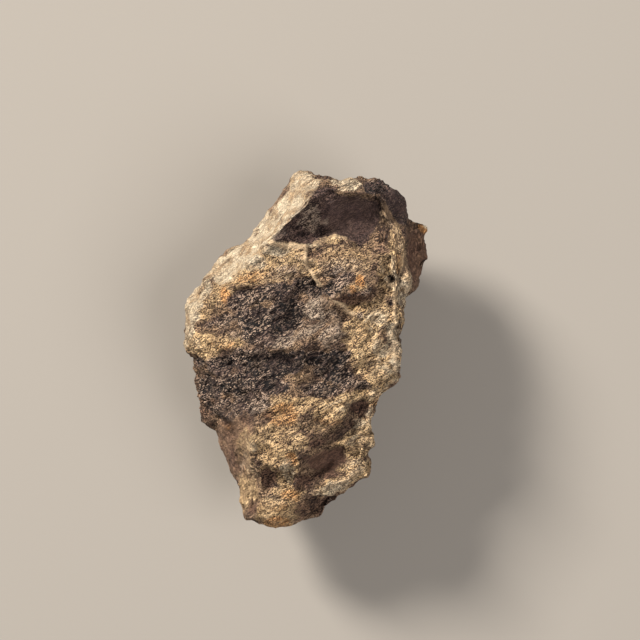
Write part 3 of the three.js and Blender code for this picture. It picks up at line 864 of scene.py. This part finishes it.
def finish_colours(n, mottle, islands, crust, pale_and_lit):
    """The stone's finishes laid over each other, without the fine pattern."""
    body = n.blend(n.spread(mottle, *BODY_MOTTLE), BODY, BODY_DARK)
    body = n.blend(n.times(n.mark("red"), COVER["red"]), body, SKIN_RED)
    tan = n.blend(n.spread(mottle, *TAN_MOTTLE), TAN, TAN_PALE)
    body = n.blend(islands("tan"), body, tan)
    body = n.blend(n.times(islands("rust"), COVER["rust"]), body, RUST_ORANGE)
    cream = n.blend(n.spread(mottle, *CREAM_MOTTLE), CREAM, CREAM_TAN)
    body = n.blend(n.times(pale_and_lit, COVER["pale_and_lit"]), body, cream)
    black = n.blend(n.spread(mottle, *CRUST_MOTTLE), CRUST_BLACK, CRUST_BROWN)
    body = n.blend(n.times(crust, COVER["crust"]), body, black)
    # Painted shade in the dips and on the flange, over dark brown breaks.
    body = n.blend(n.times(islands("shade"), COVER["shade"]), body, SHADE_BROWN)
    # Painted shadow over the hollow and the corner facet.
    body = n.blend(n.times(n.mark("hollow"), COVER["hollow"]), body, HOLLOW_SHADOW_PLUM)
    # Painted sheen, and a greyer tone.
    body = n.blend(n.times(islands("sheen"), COVER["sheen"]), body, SHEEN_GREY)
    # Tan veins and painted highlights along the ridges' crests.
    return n.blend(n.times(n.mark("crest"), COVER["crest"]), body, VEIN_TAN_AND_HIGHLIGHT)


def fine_pattern(n, place, turned, drawn, stood, crust_mark, upright):
    """Chips, fibres and grit, 0 in a gap to 1 on a crest. The crust breaks in longer chips, the rest in grains."""
    again = n.lay(turned, LAYER_TURN, (LAYER_STREAK, 1.0, 1.0))
    chips = layered_chips(n, drawn, again, CHIPS)
    crust_chips = layered_chips(n, drawn, again, CRUST_CHIPS)
    chips = n.math("MULTIPLY_ADD", crust_mark, n.math("SUBTRACT", crust_chips, chips), chips)
    grit = n.spread(n.speckle(place, GRIT, 0.0), *GRIT_LEVELS)
    chipped = n.times(chips, n.spread(crust_mark, *CRUST_RANGE, *CHIP_SHARE))
    grained = n.times(grit, n.spread(crust_mark, *CRUST_RANGE, *GRIT_SHARE))
    fine = n.math("MULTIPLY_ADD", n.strands(drawn, FIBRES), FIBRE_SHARE, n.math("ADD", chipped, grained))
    stood_fibres = n.times(n.strands(stood, STOOD_FIBRES), STOOD_FIBRE_SHARE)
    stood_fine = n.math("MULTIPLY_ADD", n.chips(stood, STOOD_CHIPS), STOOD_CHIP_SHARE, stood_fibres)
    return n.math("MULTIPLY_ADD", upright, n.math("SUBTRACT", stood_fine, fine), fine)


def contrasted(n, fine, crust_mark):
    """The fine pattern and the relief's painted cavity shading together, with more contrast on the crust."""
    micro = n.math("MULTIPLY_ADD", n.mark("cavity_shading"), CAVITY_SHADING_SHARE, n.times(fine, 1 - CAVITY_SHADING_SHARE))
    contrast = n.spread(crust_mark, *CONTRAST_RANGE, *CONTRAST)
    middle = n.spread(crust_mark, *CONTRAST_RANGE, *CONTRAST_MIDDLE)
    return n.math("MULTIPLY_ADD", n.math("SUBTRACT", micro, middle), contrast, MIDDLE_LEVEL)


def stone_material():
    material = bpy.data.materials.new("weathered_chondrite")
    material.use_nodes = True
    n = Nodes(material.node_tree)
    place = n.add("ShaderNodeTexCoord").outputs["Object"]
    turned = n.lay(n.moved(place, GRAIN_DRIFT, GRAIN_SHIFT), -STREAK_TURN)
    drawn = n.lay(turned, stretch=(GRAIN_STREAK, 1.0, 1.0))
    stood = n.lay(n.moved(place, GRAIN_DRIFT, STOOD_SHIFT), stretch=(1.0, STOOD_STREAK, 1.0))

    grain = n.speckle(drawn, ISLAND_GRAIN, 2.0, 0.65)

    def islands(name):
        return n.broken(n.mark(name), grain)

    calm = n.mark("calm")
    upright = n.mark("upright")
    crust_mark = n.mark("crust")
    crust = n.broken(crust_mark, grain)
    pale_and_lit = islands("pale_and_lit")
    body = finish_colours(n, n.speckle(place, MOTTLE, 4.0, 0.65), islands, crust, pale_and_lit)

    # Painted shade in the gaps and painted highlights on the crests.
    fine = fine_pattern(n, place, turned, drawn, stood, crust_mark, upright)
    micro = contrasted(n, fine, crust_mark)
    depth = n.times(n.spread(calm, 0.0, 1.0, *CALM_DEPTH), n.spread(n.speckle(place, PATCHES, 1.0), *PATCHY_DEPTH))
    depth = n.times(depth, n.spread(n.mark("crest"), 0.0, 1.0, *VEIN_DEPTH))
    depth = n.times(depth, n.spread(pale_and_lit, 0.0, 1.0, *PALE_DEPTH))
    gap_shade = n.times(n.spread(micro, *GAP_SHADE_LEVELS), depth)
    crest_highlights = n.times(n.spread(micro, *CREST_HIGHLIGHT_LEVELS), depth)
    worn_highlights = n.times(n.spread(micro, *WORN_HIGHLIGHT_LEVELS), depth)
    stain = n.blend(upright, n.speckle(drawn, STAIN, 2.0), n.speckle(stood, STOOD_STAIN, 2.0))
    body = n.blend(n.spread(stain, *STAIN_LEVELS), n.tinted(body, STAIN_TINT), body)
    body = n.blend(gap_shade, body, n.tinted(body, GAP_SHADE_TINT))
    body = n.blend(crest_highlights, body, n.tinted(body, CREST_HIGHLIGHT_TINT))
    # Painted highlights on the crust's chips, partly worn pale points, in glinting patches.
    lit = n.times(n.spread(crust, 0.0, 1.0, *WORN_HIGHLIGHTS_ON_CRUST), n.spread(crust_mark, *WORN_HIGHLIGHTS_WHOLE_CRUST))
    lit = n.times(lit, n.spread(n.speckle(drawn, GLINTS, 1.0), *WORN_HIGHLIGHT_GLINTS))
    body = n.blend(n.times(worn_highlights, lit), body, WORN_PALE_HIGHLIGHT)

    shader = n.add("ShaderNodeBsdfPrincipled")
    n.join(body, shader.inputs["Base Color"])
    roughness = n.math("MULTIPLY_ADD", crust, -CRUST_GLOSS, n.spread(fine, *ROUGHNESS))
    n.join(roughness, shader.inputs["Roughness"])
    shader.inputs["Specular IOR Level"].default_value = SPECULAR_LEVEL

    # Tilted flakes and slabs in the bump, and the fine pattern over them.
    flakes = n.tilted_tops(n.moved(drawn, *FLAKE_SHIFT), FLAKES)
    slabs = n.tilted_tops(n.moved(drawn, *SLAB_SHIFT), SLABS)
    height = n.math("ADD", n.times(flakes, FLAKE_BUMP), n.times(slabs, SLAB_BUMP))
    height = n.math("ADD", height, n.times(fine, FINE_BUMP))
    bump = n.add("ShaderNodeBump")
    bump.inputs["Strength"].default_value = 1.0
    bump.inputs["Distance"].default_value = 1.0
    n.join(n.times(height, n.spread(calm, 0.0, 1.0, *CALM_BUMP)), bump.inputs["Height"])
    n.join(bump.outputs["Normal"], shader.inputs["Normal"])
    output = n.add("ShaderNodeOutputMaterial")
    n.join(shader.outputs["BSDF"], output.inputs["Surface"])
    return material


FLOOR_GREY = colour(155, 148, 140)
FLOOR_ROUGHNESS = 0.9


def floor_material():
    material = bpy.data.materials.new("pale_floor")
    material.use_nodes = True
    shader = material.node_tree.nodes["Principled BSDF"]
    shader.inputs["Base Color"].default_value = FLOOR_GREY
    shader.inputs["Roughness"].default_value = FLOOR_ROUGHNESS
    return material


# ---------------------------------------------------------------- floor, lights and camera

FLOOR_REACH = 1.5  # metres from the middle to each side

# Each light is (the direction it comes from, its distance and width in metres, its power in watts, its tint).
KEY_LIGHT = ((-0.62, 0.60, 0.50), 0.90, 0.22, 16.6, (1.0, 0.96, 0.89))
FILL_LIGHT = ((0.60, -0.25, 0.78), 0.90, 0.60, 6.0, (1.0, 0.97, 0.94))
LIT_LEVEL = 10 * MM  # the height that the lights point at
ROOM_TINT = (0.95, 0.97, 1.0, 1.0)
ROOM_STRENGTH = 0.20

CAMERA_DISTANCE = 320 * MM
CAMERA_LEVEL = 9.5 * MM  # the height of the stone's widest outline
VIEW_WIDTH = 75.2 * MM  # what the view takes in at that height
VIEW_CENTRE = (1.70 * MM, 3.55 * MM)


def make_floor():
    bm = bmesh.new()
    bmesh.ops.create_grid(bm, x_segments=1, y_segments=1, size=FLOOR_REACH)
    mesh = bpy.data.meshes.new("floor")
    bm.to_mesh(mesh)
    bm.free()
    floor = bpy.data.objects.new("floor", mesh)
    bpy.context.scene.collection.objects.link(floor)
    floor.data.materials.append(floor_material())


def soft_light(name, towards, distance, size, power, tint):
    """A square soft light that shines on the stone from the direction towards."""
    light = bpy.data.lights.new(name, "AREA")
    light.size = size
    light.energy = power
    light.color = tint
    holder = bpy.data.objects.new(name, light)
    direction = Vector(towards).normalized()
    holder.location = direction * distance + Vector((0, 0, LIT_LEVEL))
    holder.rotation_mode = "QUATERNION"
    holder.rotation_quaternion = (-direction).to_track_quat("-Z", "Y")
    bpy.context.scene.collection.objects.link(holder)


def make_lights():
    soft_light("key", *KEY_LIGHT)
    soft_light("fill", *FILL_LIGHT)
    world = bpy.data.worlds.new("room")
    world.use_nodes = True
    background = world.node_tree.nodes["Background"]
    background.inputs["Color"].default_value = ROOM_TINT
    background.inputs["Strength"].default_value = ROOM_STRENGTH
    bpy.context.scene.world = world
    bpy.context.scene.view_settings.view_transform = "Standard"


def make_camera():
    camera = bpy.data.cameras.new("camera")
    camera.sensor_width = 36
    camera.lens = camera.sensor_width * CAMERA_DISTANCE / VIEW_WIDTH
    camera.clip_start = 0.01
    camera.clip_end = 10
    holder = bpy.data.objects.new("camera", camera)
    holder.location = (*VIEW_CENTRE, CAMERA_LEVEL + CAMERA_DISTANCE)
    bpy.context.scene.collection.objects.link(holder)
    bpy.context.scene.camera = holder


# ---------------------------------------------------------------- assembly

make_camera()
make_floor()
make_lights()

stone = make_stone()
stone.data.materials.append(stone_material())
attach(stone, "root")
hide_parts("meteorite")
